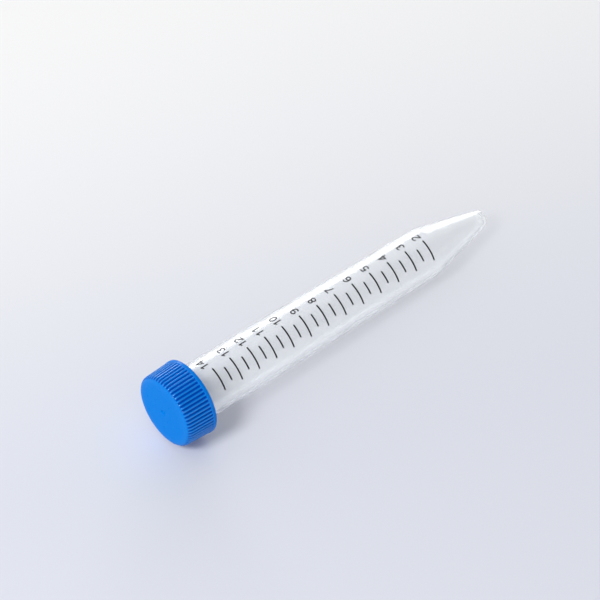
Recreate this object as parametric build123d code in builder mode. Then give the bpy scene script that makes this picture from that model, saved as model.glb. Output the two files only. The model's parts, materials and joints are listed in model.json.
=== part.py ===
# A 15 mL conical-bottom centrifuge tube with a ribbed screw cap, lying on its side.
# Heights are measured along the tube's own axis, from the tip towards the cap.
from build123d import *
import os
from math import asin, atan2, cos, degrees, hypot, pi, radians, sin

os.makedirs("parts", exist_ok=True)

# Overall
total_length = 120.0          # tip to the cap's flat face, along the axis

# Tube, outside
tip_flat_radius = 2.55        # flat end of the cone, before its edge is rounded
tip_round = 1.4
junction_height = 22.7        # where the cone meets the barrel
barrel_end_radius = 7.65      # at the junction
barrel_radius = 8.35          # straight land below the cap, which a rack hole fits around
land_bottom = 97.6
land_top = 109.8              # the shoulder tapers from here to the neck
shoulder_height = 110.6       # end of the shoulder, just inside the cap's skirt
neck_radius = 8.1             # root of the thread
mouth_height = 117.9
junction_round = 3.0

# Tube, inside
bore_radius = 7.15            # straight from the mouth to the 14 mL line
bore_bottom = 103.5
bore_end_radius = 6.8         # at the inner junction
inner_junction_height = 22.5
inner_tip_radius = 1.9
inner_tip_height = 1.5

# Cap
cap_height = 10.0
cap_face_radius = 9.6         # flat part of the face
cap_corner = 1.5
cap_front_radius = cap_face_radius + cap_corner
cap_rib_end_radius = 11.5     # rib crests at the rim band
cap_rim_radius = 11.6
rim_band = 1.0
rim_edge_round = 0.25
rib_count = 60
rib_depth = 0.38
cap_bore_radius = 9.65
cap_top_thickness = 1.3
gate_radius = 0.9
gate_depth = 0.25

# Screw thread, right-handed, one start
thread_pitch = 3.0
thread_turns = 1.5
thread_base_width = 1.4
thread_crest_width = 0.7
thread_depth = 1.0
thread_sunk = 0.2
tube_thread_start = 112.4
cap_thread_start = tube_thread_start - thread_pitch / 2

# Sealing disc
liner_radius = 9.3
liner_thickness = 0.7
liner_gap = 0.05

# Printed scale: a long line at each millilitre, a short one at each half
first_line_height = 103.5     # the 14 mL line
ink_thickness = 0.05
ink_width = 0.4
scale_azimuth = 56.8          # centre of the lines, from the horizontal side towards the top
long_half_angle = 25
short_half_angle = 14.4
one_digit_azimuth = 89.2      # where a number of one digit starts
two_digit_azimuth = 87.4
digit_height = 2.6
digit_advance = 1.98
number_shifts = {2: 0.9, 14: 1.3}  # these stand nearer the cap than their lines
stroke = 0.36
font_height_share = 0.71       # digit height over the font's size
outline_step = 0.2             # spacing of the points along a digit's outline

# The tube rests on the cap's rim and on the end of the barrel, so its axis slopes down to the tip.
rest_run = total_length - cap_height - junction_height
rest_drop = cap_rim_radius - barrel_end_radius
tilt = atan2(rest_drop, rest_run)
tip_above_floor = barrel_end_radius * cos(tilt) - junction_height * sin(tilt)
cap_overhang = cap_face_radius * sin(tilt) + cap_corner * (1 - cos(tilt))
tip_overhang = (tip_flat_radius - tip_round) * sin(tilt)
tip_x = (total_length * cos(tilt) + cap_overhang - tip_overhang) / 2

tip = Vector(tip_x, 0, tip_above_floor)
up_the_axis = Vector(-cos(tilt), 0, sin(tilt))
sideways = Vector(0, -1, 0)
upwards = Vector(sin(tilt), 0, cos(tilt))
stem = Axis(tip, up_the_axis)
standing = Plane(origin=tip, x_dir=sideways, z_dir=up_the_axis)


def radial(azimuth):
    """The direction away from the axis, from the horizontal side (0) towards the top (90)."""
    return sideways * cos(radians(azimuth)) + upwards * sin(radians(azimuth))


def meridian(azimuth):
    """The plane through the axis whose sketch has the radius across and the height upwards."""
    out = radial(azimuth)
    return Plane(origin=tip, x_dir=out, z_dir=out.cross(up_the_axis))


def barrel_radius_at(height):
    """The barrel's outer radius, tapering below its straight land."""
    if height >= land_bottom:
        return barrel_radius
    share = (land_bottom - height) / (land_bottom - junction_height)
    return barrel_radius + (barrel_end_radius - barrel_radius) * share


def line_height(millilitres):
    """The height of a scale line: the bore's volume between it and the 14 mL line."""
    taper = (bore_radius - bore_end_radius) / (bore_bottom - inner_junction_height)
    volume = (14 - millilitres) * 1000
    radius = (bore_radius**3 - 3 * taper * volume / pi) ** (1 / 3)
    return first_line_height - (bore_radius - radius) / taper


def fluted_outline(crest_radius):
    """Corners of a cap section: flat-topped ribs with flat-bottomed grooves between them."""
    step = 360 / rib_count
    corners = []
    for rib in range(rib_count):
        for share, depth in ((-0.32, rib_depth), (-0.14, 0), (0.14, 0), (0.32, rib_depth)):
            angle = radians((rib + share) * step)
            radius = crest_radius - depth
            corners.append((radius * cos(angle), radius * sin(angle)))
    return corners


def digit_shape(digit):
    """A digit's outline and its holes, each as evenly spaced points."""
    with BuildSketch() as glyph:
        Text(
            digit,
            font_size=digit_height / font_height_share,
            font="Relief SingleLine CAD",
            single_line_width=stroke,
        )
    face = glyph.sketch.faces()[0]
    loops = []
    for wire in [face.outer_wire(), *face.inner_wires()]:
        count = max(8, round(wire.length / outline_step))
        points = [wire @ (number / count) for number in range(count)]
        loops.append([(point.X, point.Y) for point in points])
    return loops[0], loops[1:]


with BuildPart() as tube:
    with BuildSketch(meridian(0)) as tube_outline:
        with BuildLine():
            Polyline(
                (0, 0),
                (tip_flat_radius, 0),
                (barrel_end_radius, junction_height),
                (barrel_radius, land_bottom),
                (barrel_radius, land_top),
                (neck_radius, shoulder_height),
                (neck_radius, mouth_height),
                (0, mouth_height),
                close=True,
            )
        make_face()
        fillet(tube_outline.vertices().sort_by_distance((tip_flat_radius, 0))[0], tip_round)
        fillet(
            tube_outline.vertices().sort_by_distance((barrel_end_radius, junction_height))[0],
            junction_round,
        )
    revolve(axis=stem)
    # hollow, with a conical bottom
    with BuildSketch(meridian(0)) as tube_hollow:
        with BuildLine():
            Polyline(
                (0, inner_tip_height),
                (inner_tip_radius, inner_tip_height),
                (bore_end_radius, inner_junction_height),
                (bore_radius, bore_bottom),
                (bore_radius, mouth_height),
                (0, mouth_height),
                close=True,
            )
        make_face()
        fillet(
            tube_hollow.vertices().sort_by_distance((inner_tip_radius, inner_tip_height))[0],
            1.0,
        )
    revolve(axis=stem, mode=Mode.SUBTRACT)
    # thread around the neck
    with BuildLine():
        tube_helix = Helix(
            pitch=thread_pitch,
            height=thread_pitch * thread_turns,
            radius=neck_radius,
            center=tip + up_the_axis * tube_thread_start,
            direction=up_the_axis,
        )
    tube_thread_out = (tube_helix @ 0) - (tip + up_the_axis * tube_thread_start)
    with BuildSketch(Plane(origin=tube_helix @ 0, x_dir=tube_thread_out, z_dir=tube_helix % 0)):
        with BuildLine():
            Polyline(
                (-thread_sunk, -thread_base_width / 2),
                (thread_depth, -thread_crest_width / 2),
                (thread_depth, thread_crest_width / 2),
                (-thread_sunk, thread_base_width / 2),
                close=True,
            )
        make_face()
    sweep(path=tube_helix, is_frenet=True)

with BuildPart() as cap:
    # ribbed side, then the smooth band at the rim
    with BuildSketch(standing.offset(total_length - cap_height + rim_band)):
        Polygon(*fluted_outline(cap_rib_end_radius), align=None)
    with BuildSketch(standing.offset(total_length)):
        Polygon(*fluted_outline(cap_front_radius), align=None)
    loft(ruled=True)
    with BuildSketch(standing.offset(total_length - cap_height)):
        Circle(cap_rim_radius)
    extrude(amount=rim_band)
    # rounded edge of the face and of the rim
    with BuildSketch(meridian(0)) as cap_outline:
        with BuildLine():
            Polyline(
                (0, total_length - cap_height),
                (cap_rim_radius, total_length - cap_height),
                (cap_rim_radius, total_length - cap_height + rim_band),
                (cap_front_radius, total_length),
                (0, total_length),
                close=True,
            )
        make_face()
        fillet(
            cap_outline.vertices().sort_by_distance((cap_front_radius, total_length))[0],
            cap_corner,
        )
        fillet(
            cap_outline.vertices().sort_by_distance((cap_rim_radius, total_length - cap_height))[0],
            rim_edge_round,
        )
    revolve(axis=stem, mode=Mode.INTERSECT)
    # hollow inside
    with BuildSketch(standing.offset(total_length - cap_height)):
        Circle(cap_bore_radius)
    extrude(amount=cap_height - cap_top_thickness, mode=Mode.SUBTRACT)
    # shallow dimple left by the moulding gate
    with BuildSketch(standing.offset(total_length)):
        Circle(gate_radius)
    extrude(amount=-gate_depth, taper=30, mode=Mode.SUBTRACT)
    # thread inside the skirt
    with BuildLine():
        cap_helix = Helix(
            pitch=thread_pitch,
            height=thread_pitch * thread_turns,
            radius=cap_bore_radius,
            center=tip + up_the_axis * cap_thread_start,
            direction=up_the_axis,
        )
    cap_thread_out = (cap_helix @ 0) - (tip + up_the_axis * cap_thread_start)
    with BuildSketch(Plane(origin=cap_helix @ 0, x_dir=cap_thread_out, z_dir=cap_helix % 0)):
        with BuildLine():
            Polyline(
                (thread_sunk, -thread_base_width / 2),
                (-thread_depth, -thread_crest_width / 2),
                (-thread_depth, thread_crest_width / 2),
                (thread_sunk, thread_base_width / 2),
                close=True,
            )
        make_face()
    sweep(path=cap_helix, is_frenet=True)

with BuildPart() as liner:
    # soft disc between the cap's ceiling and the tube's mouth
    with BuildSketch(standing.offset(mouth_height + liner_gap)):
        Circle(liner_radius)
    extrude(amount=liner_thickness)

with BuildPart() as graduation_lines:
    for millilitres in range(2, 15):
        low = line_height(millilitres) - ink_width / 2
        high = low + ink_width
        with BuildSketch(meridian(scale_azimuth - long_half_angle)):
            with BuildLine():
                Polyline(
                    (barrel_radius_at(low), low),
                    (barrel_radius_at(low) + ink_thickness, low),
                    (barrel_radius_at(high) + ink_thickness, high),
                    (barrel_radius_at(high), high),
                    close=True,
                )
            make_face()
    revolve(axis=stem, revolution_arc=2 * long_half_angle)

with BuildPart() as half_lines:
    for millilitres in range(2, 14):
        low = line_height(millilitres + 0.5) - ink_width / 2
        high = low + ink_width
        with BuildSketch(meridian(scale_azimuth - short_half_angle)):
            with BuildLine():
                Polyline(
                    (barrel_radius_at(low), low),
                    (barrel_radius_at(low) + ink_thickness, low),
                    (barrel_radius_at(high) + ink_thickness, high),
                    (barrel_radius_at(high), high),
                    close=True,
                )
            make_face()
    revolve(axis=stem, revolution_arc=2 * short_half_angle)

digit_shapes = {digit: digit_shape(digit) for digit in "0123456789"}

with BuildPart() as numerals:
    # each digit is a thin flat patch on a plane that touches the barrel at the digit's centre
    for millilitres in range(2, 15):
        height = line_height(millilitres) + number_shifts.get(millilitres, 0)
        touching_radius = barrel_radius_at(height + digit_height / 2)
        start = two_digit_azimuth if millilitres > 9 else one_digit_azimuth
        for place, digit in enumerate(str(millilitres)):
            along = (place + 0.5) * digit_advance
            outward = radial(start + degrees(along / touching_radius))
            centre = tip + up_the_axis * height + outward * touching_radius
            reading = up_the_axis.cross(outward)
            outline, holes = digit_shapes[digit]
            with BuildSketch(Plane(origin=centre, x_dir=reading, z_dir=outward)):
                Polygon(*outline, align=None)
                for hole in holes:
                    Polygon(*hole, align=None, mode=Mode.SUBTRACT)
            extrude(amount=ink_thickness)

tube.part.label = "tube"
export_step(tube.part, "parts/tube.step")
cap.part.label = "screw_cap"
export_step(cap.part, "parts/screw_cap.step")
liner.part.label = "cap_liner"
export_step(liner.part, "parts/cap_liner.step")
graduation_lines.part.label = "graduation_lines"
export_step(graduation_lines.part, "parts/graduation_lines.step")
half_lines.part.label = "half_lines"
export_step(half_lines.part, "parts/half_lines.step")
numerals.part.label = "numerals"
export_step(numerals.part, "parts/numerals.step")
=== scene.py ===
import json
from math import atan2, ceil, cos, degrees, hypot, pi, radians, sin, tan

import bmesh
import bpy
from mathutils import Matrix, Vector


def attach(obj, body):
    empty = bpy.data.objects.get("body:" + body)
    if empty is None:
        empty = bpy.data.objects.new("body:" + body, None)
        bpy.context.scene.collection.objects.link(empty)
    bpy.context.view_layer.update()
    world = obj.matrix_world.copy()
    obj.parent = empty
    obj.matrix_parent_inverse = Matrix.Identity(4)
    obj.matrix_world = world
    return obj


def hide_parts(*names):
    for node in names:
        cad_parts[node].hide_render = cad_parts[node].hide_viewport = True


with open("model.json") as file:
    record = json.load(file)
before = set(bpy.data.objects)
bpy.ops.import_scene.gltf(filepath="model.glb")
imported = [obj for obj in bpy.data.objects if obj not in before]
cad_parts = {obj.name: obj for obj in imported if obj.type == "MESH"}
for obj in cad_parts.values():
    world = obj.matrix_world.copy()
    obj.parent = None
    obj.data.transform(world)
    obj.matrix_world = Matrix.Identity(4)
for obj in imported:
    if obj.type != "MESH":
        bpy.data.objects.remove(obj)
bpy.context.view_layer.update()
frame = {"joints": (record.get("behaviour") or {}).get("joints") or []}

MM = 0.001
joints = {joint["name"]: joint for joint in frame["joints"]}
axis = Vector(joints["cap_turn"]["axis"]).normalized()
total_length = 120.0
tip = Vector(joints["cap_turn"]["pos_m"]) - axis * total_length * MM
sideways = Vector((0, -1, 0))
upwards = axis.cross(sideways)

# Tube, outside
tip_flat_radius, tip_round = 2.55, 2.1
junction_height, junction_round = 22.7, 3.0
barrel_end_radius, barrel_radius = 7.65, 8.35
land_bottom, land_top, land_round = 97.6, 109.8, 20
shoulder_height, shoulder_round = 110.6, 0.5
neck_radius, mouth_height, mouth_round = 8.1, 117.9, 0.3
gate_haze_height = 1.1

# Tube, inside
bore_radius, bore_bottom, bore_round = 7.15, 103.5, 10
bore_end_radius, inner_junction_height = 6.8, 22.5
inner_tip_radius, inner_tip_height, inner_tip_round = 1.9, 1.5, 1.6

# Cap
rim_height = 110.0
cap_face_radius, cap_corner = 9.6, 1.5
cap_front_radius = cap_face_radius + cap_corner
cap_rib_end_radius, cap_rim_radius = 11.5, 11.6
rim_band, rim_edge_round = 1.0, 0.25
band_top = rim_height + rim_band
rib_count, rib_depth = 60, 0.5
rib_crest_half, rib_flank = 0.16, 0.15  # shares of the step from rib to rib
rib_fade = 0.25  # the grooves run out over this height above the band
cap_bore_radius, ceiling_height, ceiling_round = 9.65, 118.7, 0.3
bore_chamfer, small_round = 0.15, 0.05
gate_radius, gate_floor_radius, gate_depth = 0.95, 0.7, 0.25
nub_top_radius, nub_radius, nub_drop = 0.3, 0.42, 0.12

# Screw thread
pitch, turns = 3.0, 1.5
thread_base, thread_crest, thread_depth = 1.4, 0.7, 1.0
thread_run_out = 0.07  # share of a turn
tube_thread_start, cap_thread_start = 112.4, 110.9
thread_azimuth = -90.0

# Sealing disc
liner_radius, liner_bottom, liner_top, liner_round = 9.3, 117.95, 118.65, 0.15

# Printed scale
first_line_height, first_line_volume = 103.5, 14
ink_low, ink_high = 0.004, 0.03  # the ink's underside and top, above the plastic
ink_width = 0.48
scale_azimuth, long_half_angle, short_half_angle = 56.8, 25, 14.4
one_digit_azimuth, two_digit_azimuth = 89.2, 87.4
digit_height, digit_advance, stroke = 2.6, 1.98, 0.38
number_shifts = {2: 0.9, 14: 1.3}  # these stand nearer the cap than their lines

# Mesh spacing
tube_columns, columns_per_rib, liner_columns = 192, 12, 96
tube_arc_steps, cap_arc_steps, liner_arc_steps = 10, 5, 5
plain_row, neck_row, cap_thread_row, rib_end_row, liner_row = 2.0, 0.14, 0.2, 0.08, 1.0


def place(radius, azimuth, height):
    """A point of the tube: azimuth 0 is the horizontal near side, 90 the top (degrees)."""
    a = radians(azimuth)
    out = sideways * cos(a) + upwards * sin(a)
    return tip + (axis * height + out * radius) * MM


def smooth(x):
    x = min(max(x, 0.0), 1.0)
    return x * x * (3 - 2 * x)


def barrel_at(height):
    """The barrel's outer radius, tapering below its straight land."""
    if height >= land_bottom:
        return barrel_radius
    share = (land_bottom - height) / (land_bottom - junction_height)
    return barrel_radius + (barrel_end_radius - barrel_radius) * share


def line_height(millilitres):
    """The height of a scale line, from the bore's volume between it and the top line."""
    taper = (bore_radius - bore_end_radius) / (bore_bottom - inner_junction_height)
    volume = (first_line_volume - millilitres) * 1000
    radius = (bore_radius**3 - 3 * taper * volume / pi) ** (1 / 3)
    return first_line_height - (bore_radius - radius) / taper


def rounded(corners, arc_steps):
    """A profile of (radius, height) points from corners (radius, height, rounding)."""
    points = []
    for i, (r, h, rounding) in enumerate(corners):
        if rounding == 0 or i in (0, len(corners) - 1):
            points.append((r, h))
            continue
        p = Vector((r, h))
        before = (Vector(corners[i - 1][:2]) - p).normalized()
        after = (Vector(corners[i + 1][:2]) - p).normalized()
        half = before.angle(after) / 2
        reach = rounding / tan(half)
        start, end = p + before * reach, p + after * reach
        middle = p + (before + after).normalized() * (rounding / sin(half))
        a, b = start - middle, end - middle
        sweep = a.angle(b)
        for k in range(arc_steps + 1):
            share = k / arc_steps
            q = middle + (a * sin((1 - share) * sweep) + b * sin(share * sweep)) / sin(sweep)
            points.append((q.x, q.y))
    return points


def divided(points, step_at):
    """The profile with every span cut into steps no longer than step_at(radius, height)."""
    out = [points[0]]
    for (r0, h0), (r1, h1) in zip(points, points[1:]):
        step = min(step_at(r0, h0), step_at(r1, h1), step_at((r0 + r1) / 2, (h0 + h1) / 2))
        count = max(1, ceil(hypot(r1 - r0, h1 - h0) / step - 1e-9))
        for k in range(1, count + 1):
            s = k / count
            out.append((r0 + (r1 - r0) * s, h0 + (h1 - h0) * s))
    return out


def new_object(name, vertices, faces):
    """A smooth-shaded mesh object with every face turned outwards."""
    mesh = bpy.data.meshes.new(name)
    mesh.from_pydata([tuple(v) for v in vertices], [], faces)
    mesh.validate()
    work = bmesh.new()
    work.from_mesh(mesh)
    bmesh.ops.recalc_face_normals(work, faces=work.faces)
    work.to_mesh(mesh)
    work.free()
    mesh.polygons.foreach_set("use_smooth", [True] * len(mesh.polygons))
    mesh.update()
    obj = bpy.data.objects.new(name, mesh)
    bpy.context.scene.collection.objects.link(obj)
    return obj


def turned(name, profile, columns, shape=None):
    """A closed surface around the axis. The profile runs from the axis to the axis."""
    vertices, faces = [], []
    vertices.append(place(0, 0, profile[0][1]))
    rows = profile[1:-1]
    for r, h in rows:
        for c in range(columns):
            azimuth = 360 * c / columns
            radius = shape(r, h, azimuth) if shape else r
            vertices.append(place(radius, azimuth, h))
    vertices.append(place(0, 0, profile[-1][1]))
    end = len(vertices) - 1
    for c in range(columns):
        d = (c + 1) % columns
        faces.append((0, 1 + d, 1 + c))
        for k in range(len(rows) - 1):
            a, b = 1 + k * columns, 1 + (k + 1) * columns
            faces.append((a + c, a + d, b + d, b + c))
        a = 1 + (len(rows) - 1) * columns
        faces.append((a + c, a + d, end))
    return new_object(name, vertices, faces)


def ridge(height, azimuth, start):
    """Height of the thread's ridge above its root, at a point of the cylinder it is on."""
    around = ((azimuth - thread_azimuth) % 360) / 360
    best = 0.0
    for turn in range(ceil(turns) + 1):
        along = around + turn
        if not 0 <= along <= turns:
            continue
        off = abs(height - (start + along * pitch))
        flank = (thread_base / 2 - off) / ((thread_base - thread_crest) / 2)
        ends = smooth(along / thread_run_out) * smooth((turns - along) / thread_run_out)
        best = max(best, thread_depth * min(max(flank, 0), 1) * ends)
    return best


# ---------------------------------------------------------------- tube
outside_bore = bore_radius + 0.5  # only the tube's outer surface is wider than this
neck_bottom = 111.0
thread_zone = (111.2, mouth_height - 0.2)

tube_corners = [
    (0, 0, 0),
    (tip_flat_radius, 0, tip_round),
    (barrel_end_radius, junction_height, junction_round),
    (barrel_radius, land_bottom, land_round),
    (barrel_radius, land_top, shoulder_round),
    (neck_radius, shoulder_height, shoulder_round),
    (neck_radius, mouth_height, mouth_round),
    (bore_radius, mouth_height, mouth_round),
    (bore_radius, bore_bottom, bore_round),
    (bore_end_radius, inner_junction_height, junction_round),
    (inner_tip_radius, inner_tip_height, inner_tip_round),
    (0, inner_tip_height, 0),
]


def tube_shape(r, h, azimuth):
    if thread_zone[0] < h < thread_zone[1] and r > outside_bore:
        return r + ridge(h, azimuth, tube_thread_start)
    return r


def tube_step(r, h):
    return neck_row if h > neck_bottom and r > outside_bore else plain_row


tube_profile = divided(rounded(tube_corners, tube_arc_steps), tube_step)
tube = turned("tube_shell", tube_profile, tube_columns, tube_shape)

# ---------------------------------------------------------------- cap
outside_skirt = cap_bore_radius + 0.9  # only the cap's outer surface is wider than this
thread_top = ceiling_height - 0.8
on_bore = 0.01  # how near to the bore's radius a point of the bore is
rib_end_height = 0.4  # above the band, where the grooves have their full depth

cap_corners = [
    (0, total_length - nub_drop, 0),
    (nub_top_radius, total_length - nub_drop, 0.1),
    (nub_radius, total_length - gate_depth, 0.1),
    (gate_floor_radius, total_length - gate_depth, 0.12),
    (gate_radius, total_length, 0.12),
    (cap_front_radius, total_length, cap_corner),
    (cap_rib_end_radius - 0.02, band_top + rib_end_height, 0),
    (cap_rib_end_radius, band_top + 0.06, 0.03),
    (cap_rim_radius, band_top, small_round),
    (cap_rim_radius, rim_height, rim_edge_round),
    (cap_bore_radius + bore_chamfer, rim_height, small_round),
    (cap_bore_radius, rim_height + bore_chamfer, small_round),
    (cap_bore_radius, ceiling_height, ceiling_round),
    (0, ceiling_height, 0),
]


def groove(azimuth):
    """0 on a rib's crest, 1 in the groove between two ribs."""
    place_in_rib = abs(((azimuth * rib_count / 360) + 0.5) % 1 - 0.5)
    return smooth((place_in_rib - rib_crest_half) / rib_flank)


def cap_shape(r, h, azimuth):
    if r > outside_skirt and h > band_top:
        share = (h - band_top) / (total_length - band_top)
        crest = cap_rib_end_radius + (cap_front_radius - cap_rib_end_radius) * share
        return min(r, crest - rib_depth * groove(azimuth) * smooth((h - band_top) / rib_fade))
    if abs(r - cap_bore_radius) < on_bore and h < thread_top:
        return r - ridge(h, azimuth, cap_thread_start)
    return r


def cap_step(r, h):
    if r > outside_skirt and band_top - 0.1 < h < band_top + 0.3:
        return rib_end_row
    if abs(r - cap_bore_radius) < on_bore:
        return cap_thread_row
    return plain_row


def mark_ribs(obj):
    """Stores at each point how far it lies in a groove, which the material uses as painted shade that
    also darkens the rim band, and how polished it is.
    """
    painted_shade = obj.data.attributes.new("groove", "FLOAT", "POINT")
    polish = obj.data.attributes.new("polish", "FLOAT", "POINT")
    band_shade, band_dullness = 0.25, 0.7
    for spot, vertex in enumerate(obj.data.vertices):
        where = (vertex.co - tip) / MM
        height = where.dot(axis)
        out = where - axis * height
        azimuth = degrees(atan2(out.dot(upwards), out.dot(sideways)))
        ribbed = band_top + 0.1 < height < total_length - gate_depth and out.length > outside_skirt
        band = height < band_top + 0.1 and out.length > cap_rib_end_radius
        # Painted shade: the grooves are darkened by their groove share, and the rim band by band_shade.
        painted_shade.data[spot].value = groove(azimuth) if ribbed else band_shade * band
        dullness = painted_shade.data[spot].value if ribbed else band_dullness
        shine = smooth((out.length - cap_face_radius + 0.1) / 0.3)
        polish.data[spot].value = shine * (1 - dullness)


cap_profile = divided(rounded(cap_corners, cap_arc_steps), cap_step)
cap = turned("cap_shell", cap_profile, rib_count * columns_per_rib, cap_shape)
mark_ribs(cap)

# ---------------------------------------------------------------- sealing disc
liner_corners = [
    (0, liner_bottom, 0),
    (liner_radius, liner_bottom, liner_round),
    (liner_radius, liner_top, liner_round),
    (0, liner_top, 0),
]
liner_profile = divided(rounded(liner_corners, liner_arc_steps), lambda r, h: liner_row)
liner = turned("liner_disc", liner_profile, liner_columns)


# ---------------------------------------------------------------- print
def strip(vertices, faces, path, width, surface, closed=False):
    """A thin closed ribbon along path, on a surface that maps (across, up, lift) to a point."""
    widest_mitre = 1.8
    count = len(path)
    base = len(vertices)
    for i, (x, y) in enumerate(path):
        if closed:
            x0, y0 = path[(i - 1) % count]
            x1, y1 = path[(i + 1) % count]
        else:
            x0, y0 = path[max(i - 1, 0)]
            x1, y1 = path[min(i + 1, count - 1)]
        first, second = Vector((x - x0, y - y0)), Vector((x1 - x, y1 - y))
        if first.length == 0:
            first = second
        if second.length == 0:
            second = first
        first, second = first.normalized(), second.normalized()
        bisector = (first + second).normalized()
        mitre = min(1 / max(bisector.dot(first), 0.3), widest_mitre)
        normal = Vector((-bisector.y, bisector.x)) * width / 2 * mitre
        for side, lift in ((1, ink_low), (1, ink_high), (-1, ink_high), (-1, ink_low)):
            vertices.append(surface(x + normal.x * side, y + normal.y * side, lift))
    spans = count if closed else count - 1
    for i in range(spans):
        a, b = base + 4 * i, base + 4 * ((i + 1) % count)
        for k in range(4):
            n = (k + 1) % 4
            faces.append((a + k, b + k, b + n, a + n))
    if not closed:
        faces.append(tuple(base + k for k in range(4)))
        faces.append(tuple(base + 4 * (count - 1) + k for k in reversed(range(4))))


def on_barrel(across, up, lift):
    """across is the distance around the barrel from azimuth 0, up the height."""
    radius = barrel_at(up)
    return place(radius + lift, degrees(across / radius), up)


def finely(path, step, closed=False):
    """The path with points no further apart than step."""
    points = list(path) + ([path[0]] if closed else [])
    out = [points[0]]
    for (x0, y0), (x1, y1) in zip(points, points[1:]):
        count = max(1, ceil(hypot(x1 - x0, y1 - y0) / step))
        out += [(x0 + (x1 - x0) * k / count, y0 + (y1 - y0) * k / count) for k in range(1, count + 1)]
    return out[:-1] if closed else out


def scale_lines(name, values, half_angle):
    vertices, faces = [], []
    for value in values:
        height = line_height(value)
        radius = barrel_at(height)
        start = radians(scale_azimuth - half_angle) * radius
        end = radians(scale_azimuth + half_angle) * radius
        strip(vertices, faces, finely([(start, height), (end, height)], 0.25), ink_width, on_barrel)
    return new_object(name, vertices, faces)


def arc(cx, cy, rx, ry, start, end, steps=18):
    return [
        (cx + rx * cos(radians(start + (end - start) * k / steps)),
         cy + ry * sin(radians(start + (end - start) * k / steps)))
        for k in range(steps + 1)
    ]


def ring(cx, cy, rx, ry):
    return arc(cx, cy, rx, ry, 90, 450, 28)[:-1]


# Plain sans-serif digits as strokes in a box of height 1: (points, closed)
DIGITS = {
    "0": [(ring(0.395, 0.5, 0.26, 0.432), True)],
    "1": [([(0.15, 0.745), (0.29, 0.775), (0.39, 0.87), (0.43, 0.99)], False),
          ([(0.455, 1.0), (0.455, 0.0)], False)],
    "2": [(arc(0.395, 0.69, 0.25, 0.242, 175, -38) + [(0.17, 0.22), (0.125, 0.066), (0.665, 0.066)],
           False)],
    "3": [(arc(0.385, 0.72, 0.225, 0.213, 160, -88), False),
          (arc(0.385, 0.285, 0.262, 0.22, 88, -160), False)],
    "4": [([(0.52, 1.0), (0.52, 0.0)], False),
          ([(0.49, 0.95), (0.10, 0.305), (0.70, 0.305)], False)],
    "5": [([(0.63, 0.933), (0.23, 0.933), (0.165, 0.50)], False),
          (arc(0.385, 0.325, 0.262, 0.26, 143, -158), False)],
    "6": [(arc(0.43, 0.50, 0.295, 0.433, 42, 200), False), (ring(0.40, 0.30, 0.25, 0.235), True)],
    "7": [([(0.11, 0.933), (0.66, 0.933), (0.46, 0.62), (0.34, 0.30), (0.29, 0.0)], False)],
    "8": [(ring(0.395, 0.73, 0.215, 0.203), True), (ring(0.395, 0.285, 0.258, 0.22), True)],
    "9": [(arc(0.36, 0.50, 0.295, 0.433, 222, 380), False), (ring(0.39, 0.70, 0.25, 0.235), True)],
}


def scale_numbers(name):
    vertices, faces = [], []
    for value in range(2, first_line_volume + 1):
        bottom = line_height(value) + number_shifts.get(value, 0) - digit_height / 2
        radius = barrel_at(bottom + digit_height / 2)
        start = two_digit_azimuth if value > 9 else one_digit_azimuth
        for spot, digit in enumerate(str(value)):
            left = radians(start) * radius + spot * digit_advance

            def on_digit(x, y, lift, left=left, bottom=bottom, radius=radius):
                height = bottom + y
                return place(barrel_at(height) + lift, degrees((left + x) / radius), height)

            for path, closed in DIGITS[digit]:
                scaled = [(x * digit_height, y * digit_height) for x, y in path]
                strip(vertices, faces, finely(scaled, 0.2, closed), stroke, on_digit, closed)
    return new_object(name, vertices, faces)


halves = [k + 0.5 for k in range(2, first_line_volume)]
long_lines = scale_lines("long_line_print", range(2, first_line_volume + 1), long_half_angle)
short_lines = scale_lines("short_line_print", halves, short_half_angle)
numbers = scale_numbers("number_print")


# ---------------------------------------------------------------- materials
def material(name):
    m = bpy.data.materials.new(name)
    m.use_nodes = True
    nodes, links = m.node_tree.nodes, m.node_tree.links
    nodes.clear()
    out = nodes.new("ShaderNodeOutputMaterial")
    shader = nodes.new("ShaderNodeBsdfPrincipled")
    links.new(shader.outputs["BSDF"], out.inputs["Surface"])
    return m, nodes, links, shader, out


def noise(nodes, links, scale, detail=3.0):
    where = nodes.new("ShaderNodeTexCoord")
    tex = nodes.new("ShaderNodeTexNoise")
    tex.inputs["Scale"].default_value = scale
    tex.inputs["Detail"].default_value = detail
    links.new(where.outputs["Object"], tex.inputs["Vector"])
    return tex.outputs["Fac"]


def spread(nodes, links, value, low, high):
    """The value, from 0 to 1, spread over low to high."""
    ranged = nodes.new("ShaderNodeMapRange")
    ranged.inputs["To Min"].default_value = low
    ranged.inputs["To Max"].default_value = high
    links.new(value, ranged.inputs["Value"])
    return ranged.outputs["Result"]


def eased(nodes, links, value, start, end, low, high):
    """low where the value is under start, high where it is over end, and a soft step between."""
    ranged = nodes.new("ShaderNodeMapRange")
    ranged.interpolation_type = "SMOOTHSTEP"
    ranged.inputs["From Min"].default_value = start
    ranged.inputs["From Max"].default_value = end
    ranged.inputs["To Min"].default_value = low
    ranged.inputs["To Max"].default_value = high
    links.new(value, ranged.inputs["Value"])
    return ranged.outputs["Result"]


def blended(nodes, links, factor, first, second):
    """A colour between first and second. first is a colour or the output of a node."""
    mix = nodes.new("ShaderNodeMix")
    mix.data_type = "RGBA"
    if isinstance(first, tuple):
        mix.inputs["A"].default_value = (*first, 1)
    else:
        links.new(first, mix.inputs["A"])
    mix.inputs["B"].default_value = (*second, 1)
    links.new(factor, mix.inputs["Factor"])
    return mix.outputs["Result"]


def bumps(nodes, links, shader, height, strength, distance):
    bump = nodes.new("ShaderNodeBump")
    bump.inputs["Strength"].default_value = strength
    bump.inputs["Distance"].default_value = distance
    links.new(height, bump.inputs["Height"])
    links.new(bump.outputs["Normal"], shader.inputs["Normal"])


def attribute(nodes, name):
    stored = nodes.new("ShaderNodeAttribute")
    stored.attribute_name = name
    return stored.outputs["Fac"]


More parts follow.
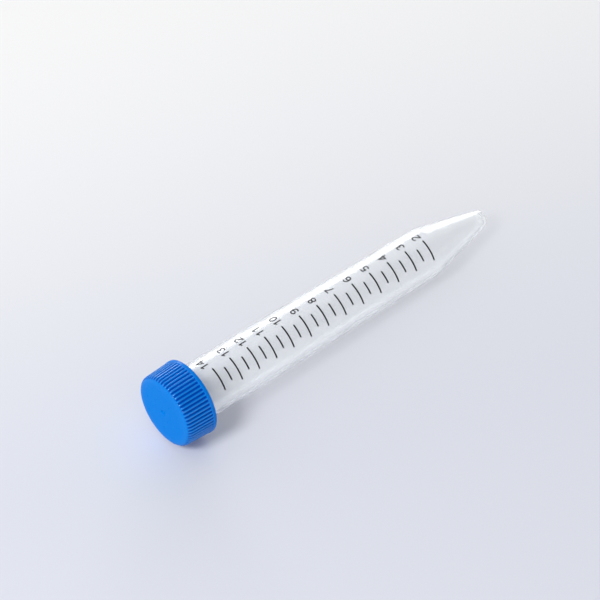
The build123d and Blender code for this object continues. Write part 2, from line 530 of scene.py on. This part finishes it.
def clear_plastic(name, clearness):
    """Faintly hazy polypropylene, which lets lamps and bounced light through to what is behind it."""
    m, nodes, links, shader, out = material(name)
    shader.inputs["Base Color"].default_value = (0.975, 0.99, 1.0, 1)
    shader.inputs["Transmission Weight"].default_value = clearness
    shader.inputs["IOR"].default_value = 1.38
    links.new(spread(nodes, links, noise(nodes, links, 260), 0.10, 0.20), shader.inputs["Roughness"])
    bumps(nodes, links, shader, noise(nodes, links, 90, 2.0), 0.02, 0.0001)
    slant = nodes.new("ShaderNodeLayerWeight")
    slant.inputs["Blend"].default_value = 0.2
    passed = blended(nodes, links, slant.outputs["Facing"], (1.0, 1.0, 1.0), (0.7, 0.7, 0.71))
    see = nodes.new("ShaderNodeBsdfTransparent")
    links.new(passed, see.inputs["Color"])
    rays = nodes.new("ShaderNodeLightPath")
    either = nodes.new("ShaderNodeMath")
    either.operation = "MAXIMUM"
    links.new(rays.outputs["Is Shadow Ray"], either.inputs[0])
    links.new(rays.outputs["Is Diffuse Ray"], either.inputs[1])
    mix = nodes.new("ShaderNodeMixShader")
    links.new(either.outputs["Value"], mix.inputs["Fac"])
    links.new(shader.outputs["BSDF"], mix.inputs[1])
    links.new(see.outputs["BSDF"], mix.inputs[2])
    links.new(mix.outputs["Shader"], out.inputs["Surface"])
    return m


def blue_plastic():
    """Azure plastic, darker in the grooves and on the rim band by painted shade, duller in the grooves,
    with a thin gloss on the ribs.
    """
    m, nodes, links, shader, out = material("blue_moulded_plastic")
    azure = blended(nodes, links, noise(nodes, links, 120, 4.0), (0.0, 0.195, 0.675), (0.0, 0.209, 0.715))
    # Painted shade: the groove attribute blends the azure towards deep blue in the grooves and on the rim
    # band.
    painted_shade_colour = blended(nodes, links, attribute(nodes, "groove"), azure, (0.0, 0.085, 0.5))
    links.new(painted_shade_colour, shader.inputs["Base Color"])
    links.new(spread(nodes, links, noise(nodes, links, 900), 0.24, 0.34), shader.inputs["Roughness"])
    shader.inputs["IOR"].default_value = 1.5
    shader.inputs["Specular IOR Level"].default_value = 0.01
    gloss = spread(nodes, links, attribute(nodes, "polish"), 0.05, 0.8)
    links.new(gloss, shader.inputs["Coat Weight"])
    shader.inputs["Coat Roughness"].default_value = 0.12
    bumps(nodes, links, shader, noise(nodes, links, 700, 1.0), 0.05, 0.00002)
    return m


def foam():
    m, nodes, links, shader, out = material("sealing_foam")
    shader.inputs["Base Color"].default_value = (0.86, 0.86, 0.84, 1)
    links.new(spread(nodes, links, noise(nodes, links, 700), 0.6, 0.8), shader.inputs["Roughness"])
    bumps(nodes, links, shader, noise(nodes, links, 1800), 0.3, 0.00005)
    return m


def ink():
    m, nodes, links, shader, out = material("black_print")
    shade = blended(nodes, links, noise(nodes, links, 1500), (0.003, 0.003, 0.004), (0.012, 0.012, 0.014))
    links.new(shade, shader.inputs["Base Color"])
    links.new(spread(nodes, links, noise(nodes, links, 800), 0.4, 0.55), shader.inputs["Roughness"])
    shader.inputs["Specular IOR Level"].default_value = 0.2
    return m


clear, gate_haze = clear_plastic("clear_polypropylene", 0.85), clear_plastic("gate_haze", 0.55)
blue, soft, black = blue_plastic(), foam(), ink()
pieces = (
    (tube, clear, "tube", "clear_plastic", "tube"),
    (cap, blue, "cap", "blue_plastic", "screw_cap"),
    (liner, soft, "seal", "liner_foam", "cap_liner"),
    (long_lines, black, "tube", "black_ink", "graduation_lines"),
    (short_lines, black, "tube", "black_ink", "half_lines"),
    (numbers, black, "tube", "black_ink", "numerals"),
)
for piece, look, body, slot, node in pieces:
    piece.data.materials.append(look)
    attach(piece, body)
    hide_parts(node)

# The closed end, where the plastic was injected, is hazier.
tube.data.materials.append(gate_haze)
for face in tube.data.polygons:
    corners = [tube.data.vertices[k].co for k in face.vertices]
    middle = sum(corners, Vector()) / len(corners)
    if (middle - tip).dot(axis) < gate_haze_height * MM:
        face.material_index = 1


# ---------------------------------------------------------------- stage
def pale_paper():
    """Pale grey, with painted light that makes it lighter on the far side."""
    m, nodes, links, shader, out = material("painted_light_table")
    where = nodes.new("ShaderNodeTexCoord")
    away = nodes.new("ShaderNodeVectorMath")
    away.operation = "DOT_PRODUCT"
    away.inputs[1].default_value = (0.43, 0.94, 0)
    links.new(where.outputs["Object"], away.inputs[0])
    # Painted light: the base colour grows lighter towards the far side, standing in for brighter light
    # there.
    share = eased(nodes, links, away.outputs["Value"], -0.05, 0.16, 0, 1)
    painted_light_tone = blended(nodes, links, share, (0.695, 0.715, 0.785), (0.91, 0.91, 0.91))
    links.new(painted_light_tone, shader.inputs["Base Color"])
    shader.inputs["Roughness"].default_value = 0.7
    shader.inputs["Specular IOR Level"].default_value = 0.1
    return m


def studio():
    """An even room, brightest at the horizon and dim above the scale's side."""
    world = bpy.data.worlds.new("studio")
    bpy.context.scene.world = world
    world.use_nodes = True
    nodes, links = world.node_tree.nodes, world.node_tree.links
    where = nodes.new("ShaderNodeTexCoord").outputs["Generated"]
    parts = nodes.new("ShaderNodeSeparateXYZ")
    links.new(where, parts.inputs["Vector"])
    height = eased(nodes, links, parts.outputs["Z"], 0, 0.7, 1.0, 0.6)
    room = nodes.new("ShaderNodeVectorMath")
    room.operation = "DOT_PRODUCT"
    room.inputs[1].default_value = (0.48, -0.42, 0.77)
    links.new(where, room.inputs[0])
    dim = eased(nodes, links, room.outputs["Value"], 0.75, 0.95, 1.0, 0.25)
    strength = nodes.new("ShaderNodeMath")
    strength.operation = "MULTIPLY"
    links.new(height, strength.inputs[0])
    links.new(dim, strength.inputs[1])
    links.new(strength.outputs["Value"], nodes["Background"].inputs["Strength"])
    nodes["Background"].inputs["Color"].default_value = (0.985, 0.99, 1.0, 1)


def softbox(name, direction, distance, width, height, power):
    """A rectangular light in that direction from the object, facing it, in metres and watts."""
    light = bpy.data.lights.new(name, "AREA")
    light.shape = "RECTANGLE"
    light.size, light.size_y = width, height
    light.energy = power
    obj = bpy.data.objects.new(name, light)
    obj.location = Vector(direction).normalized() * distance
    obj.rotation_euler = obj.location.to_track_quat("Z", "Y").to_euler()
    bpy.context.scene.collection.objects.link(obj)


def look_from(target, azimuth, elevation, distance, lens):
    """The camera, looking at target from that azimuth and elevation (degrees)."""
    a, e = radians(azimuth), radians(elevation)
    back = Vector((sin(a) * cos(e), -cos(a) * cos(e), sin(e)))
    camera_data = bpy.data.cameras.new("camera")
    camera_data.lens = lens
    camera_data.sensor_width = 36
    camera_data.clip_start, camera_data.clip_end = 0.01, 100
    camera = bpy.data.objects.new("camera", camera_data)
    camera.location = Vector(target) + back * distance
    camera.rotation_euler = (-back).to_track_quat("-Z", "Y").to_euler()
    bpy.context.scene.collection.objects.link(camera)
    bpy.context.scene.camera = camera


table_half = 6.0
table_corners = [(x * table_half, y * table_half, 0) for x, y in ((-1, -1), (1, -1), (1, 1), (-1, 1))]
table_mesh = bpy.data.meshes.new("table_top")
table_mesh.from_pydata(table_corners, [], [(0, 1, 2, 3)])
table_mesh.materials.append(pale_paper())
table = bpy.data.objects.new("table_top", table_mesh)
bpy.context.scene.collection.objects.link(table)

studio()
softbox("key_light", (-0.64, -0.08, 0.77), 1.2, 0.35, 0.35, 7.6)
softbox("back_light", (0.56, 0.80, 0.2), 1.3, 1.2, 0.5, 7.5)
look_from((0.00217, 0.01433, 0), -39.99, 50.58, 1.2, 248.5)
bpy.context.scene.view_settings.view_transform = "Standard"

bpy.context.view_layer.update()
